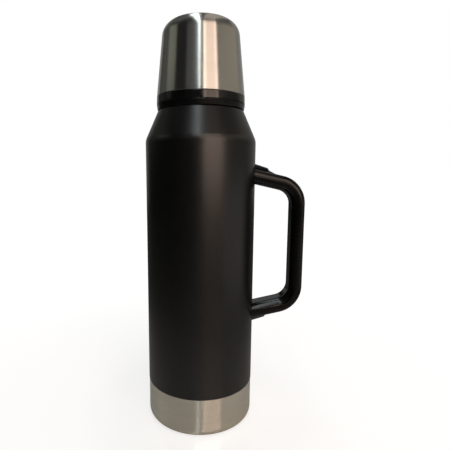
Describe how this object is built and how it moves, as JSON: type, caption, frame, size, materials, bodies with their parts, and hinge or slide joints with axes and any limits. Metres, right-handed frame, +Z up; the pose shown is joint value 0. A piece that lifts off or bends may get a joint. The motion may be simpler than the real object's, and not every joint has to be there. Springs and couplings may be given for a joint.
{
  "type": "growler",
  "caption": "Tall double-walled steel bottle with a matte black body, bare steel base, D handle, push-button pouring stopper and a steel cup lid that screws on over it.",
  "frame": {"origin": "on the bottle's axis, in the plane it stands on", "axes": "+Z up along the bottle's axis, +X towards the handle"},
  "size_m": [0.1457, 0.1, 0.362],
  "materials": {
    "powder_coat": "matte black powder coat",
    "brushed_base": "brushed round the axis",
    "satin_cup_steel": "satin, brushed round the axis",
    "vessel_steel": "electropolished",
    "raw_steel": "as pressed",
    "solder": "bright solder bead",
    "getter_metal": "dull sintered tablet in a metal cup",
    "copper": "bright copper foil",
    "collar_plastic": "black polypropylene, semi-gloss",
    "handle_plastic": "black polypropylene, glossy",
    "cup_plastic": "black polypropylene, glossy",
    "stopper_plastic": "dark grey polypropylene, fine texture",
    "button_plastic": "mid grey polypropylene",
    "silicone": "translucent grey silicone",
    "screw_steel": "zinc-plated",
    "spring_steel": "drawn stainless wire"
  },
  "bodies": {
    "bottle": {"outer_shell": "powder_coat", "base_cup": "brushed_base", "outer_end_plate": "raw_steel", "vacuum_seal": "solder", "getter": "getter_metal", "inner_vessel": "vessel_steel", "inner_bottom": "vessel_steel", "copper_foil": "copper", "neck_collar": "collar_plastic", "handle": "handle_plastic", "upper_lug": "raw_steel", "lower_lug": "raw_steel", "handle_screws": "screw_steel", "screw_covers": "handle_plastic"},
    "cup_ring": {"cup_seal": "silicone"},
    "cup": {"cup_shell": "satin_cup_steel", "cup_liner": "cup_plastic"},
    "stopper_ring": {"stopper_seal": "silicone"},
    "stopper": {"stopper_body": "stopper_plastic", "stopper_cap": "stopper_plastic", "return_spring": "spring_steel"},
    "button": {"push_button": "button_plastic", "valve_stem": "stopper_plastic", "valve_seal": "silicone"}
  },
  "joints": [
    {"name": "cup_rise", "type": "slide", "parent": "bottle", "child": "cup_ring", "axis": [0, 0, 1], "range_m": [0, 0.0661]},
    {"name": "cup_turn", "type": "hinge", "parent": "cup_ring", "child": "cup", "pos_m": [0, 0, 0.33], "axis": [0, 0, 1], "range_deg": [0, 1980]},
    {"name": "stopper_rise", "type": "slide", "parent": "bottle", "child": "stopper_ring", "axis": [0, 0, 1], "range_m": [0, 0.0289]},
    {"name": "stopper_turn", "type": "hinge", "parent": "stopper_ring", "child": "stopper", "pos_m": [0, 0, 0.3], "axis": [0, 0, 1], "range_deg": [0, 864]},
    {"name": "button_press", "type": "slide", "parent": "stopper", "child": "button", "axis": [0, 0, -1], "range_m": [0, 0.005], "stiffness_N_per_m": 600, "springref_m": -0.004, "deforming": ["return_spring"]}
  ],
  "couplings": [
    {"joint": "cup_rise", "follows": "cup_turn", "m_per_rad": 0.0019099},
    {"joint": "stopper_rise", "follows": "stopper_turn", "m_per_rad": 0.0019099}
  ]
}
